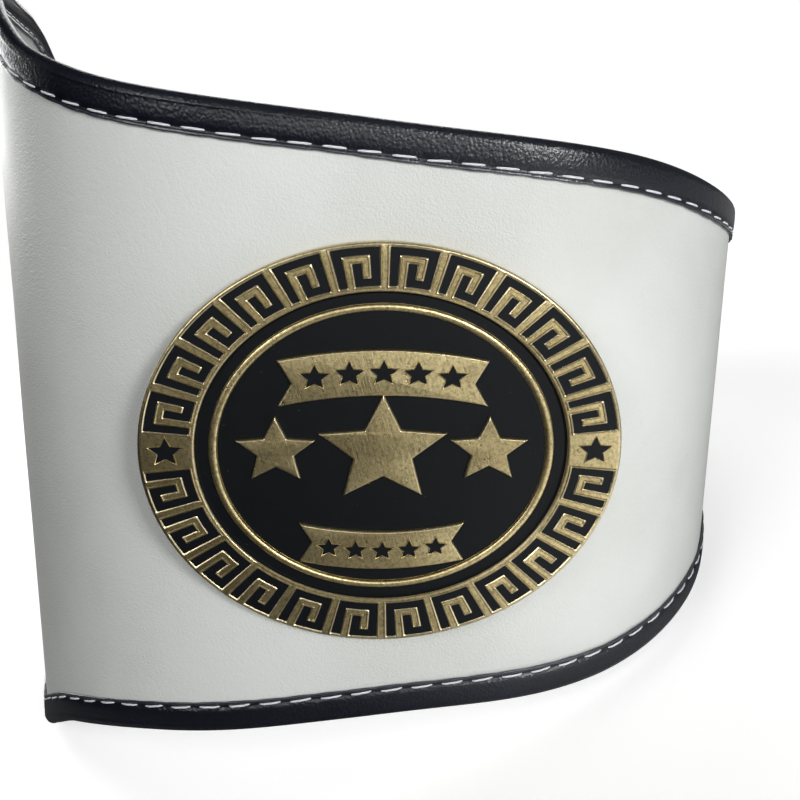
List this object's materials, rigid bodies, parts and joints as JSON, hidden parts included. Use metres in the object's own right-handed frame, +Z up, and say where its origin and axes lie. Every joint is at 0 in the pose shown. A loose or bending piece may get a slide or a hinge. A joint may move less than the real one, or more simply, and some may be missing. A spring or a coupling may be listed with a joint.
{
  "type": "championship title belt",
  "caption": "Leather title belt fastened as a waist loop, with a folded edge binding, an oval cast side plate and press studs through the overlapped ends.",
  "frame": {"origin": "on the surface that the belt stands on, under the middle of its bounding box", "axes": "+Z up from the surface, -Y the side that the plate faces, the tall stretch of the strap at -X and the fastening behind, towards +X"},
  "size_m": [0.2834, 0.3492, 0.229],
  "materials": {
    "white_leather": "fine pebbled grain, soft satin",
    "black_leather": "fine pebbled grain, satin",
    "cast_bronze": "antiqued, brushed, with black enamel in its hollows",
    "nickel": "satin"
  },
  "bodies": {
    "root": {"leather_strap": "white_leather", "binding": "black_leather", "medallion": "cast_bronze", "medallion_rivet_1": "nickel", "medallion_rivet_2": "nickel", "medallion_rivet_3": "nickel", "medallion_rivet_4": "nickel", "press_stud_1": "nickel", "press_stud_2": "nickel", "press_stud_3": "nickel", "press_stud_4": "nickel"}
  },
  "joints": []
}
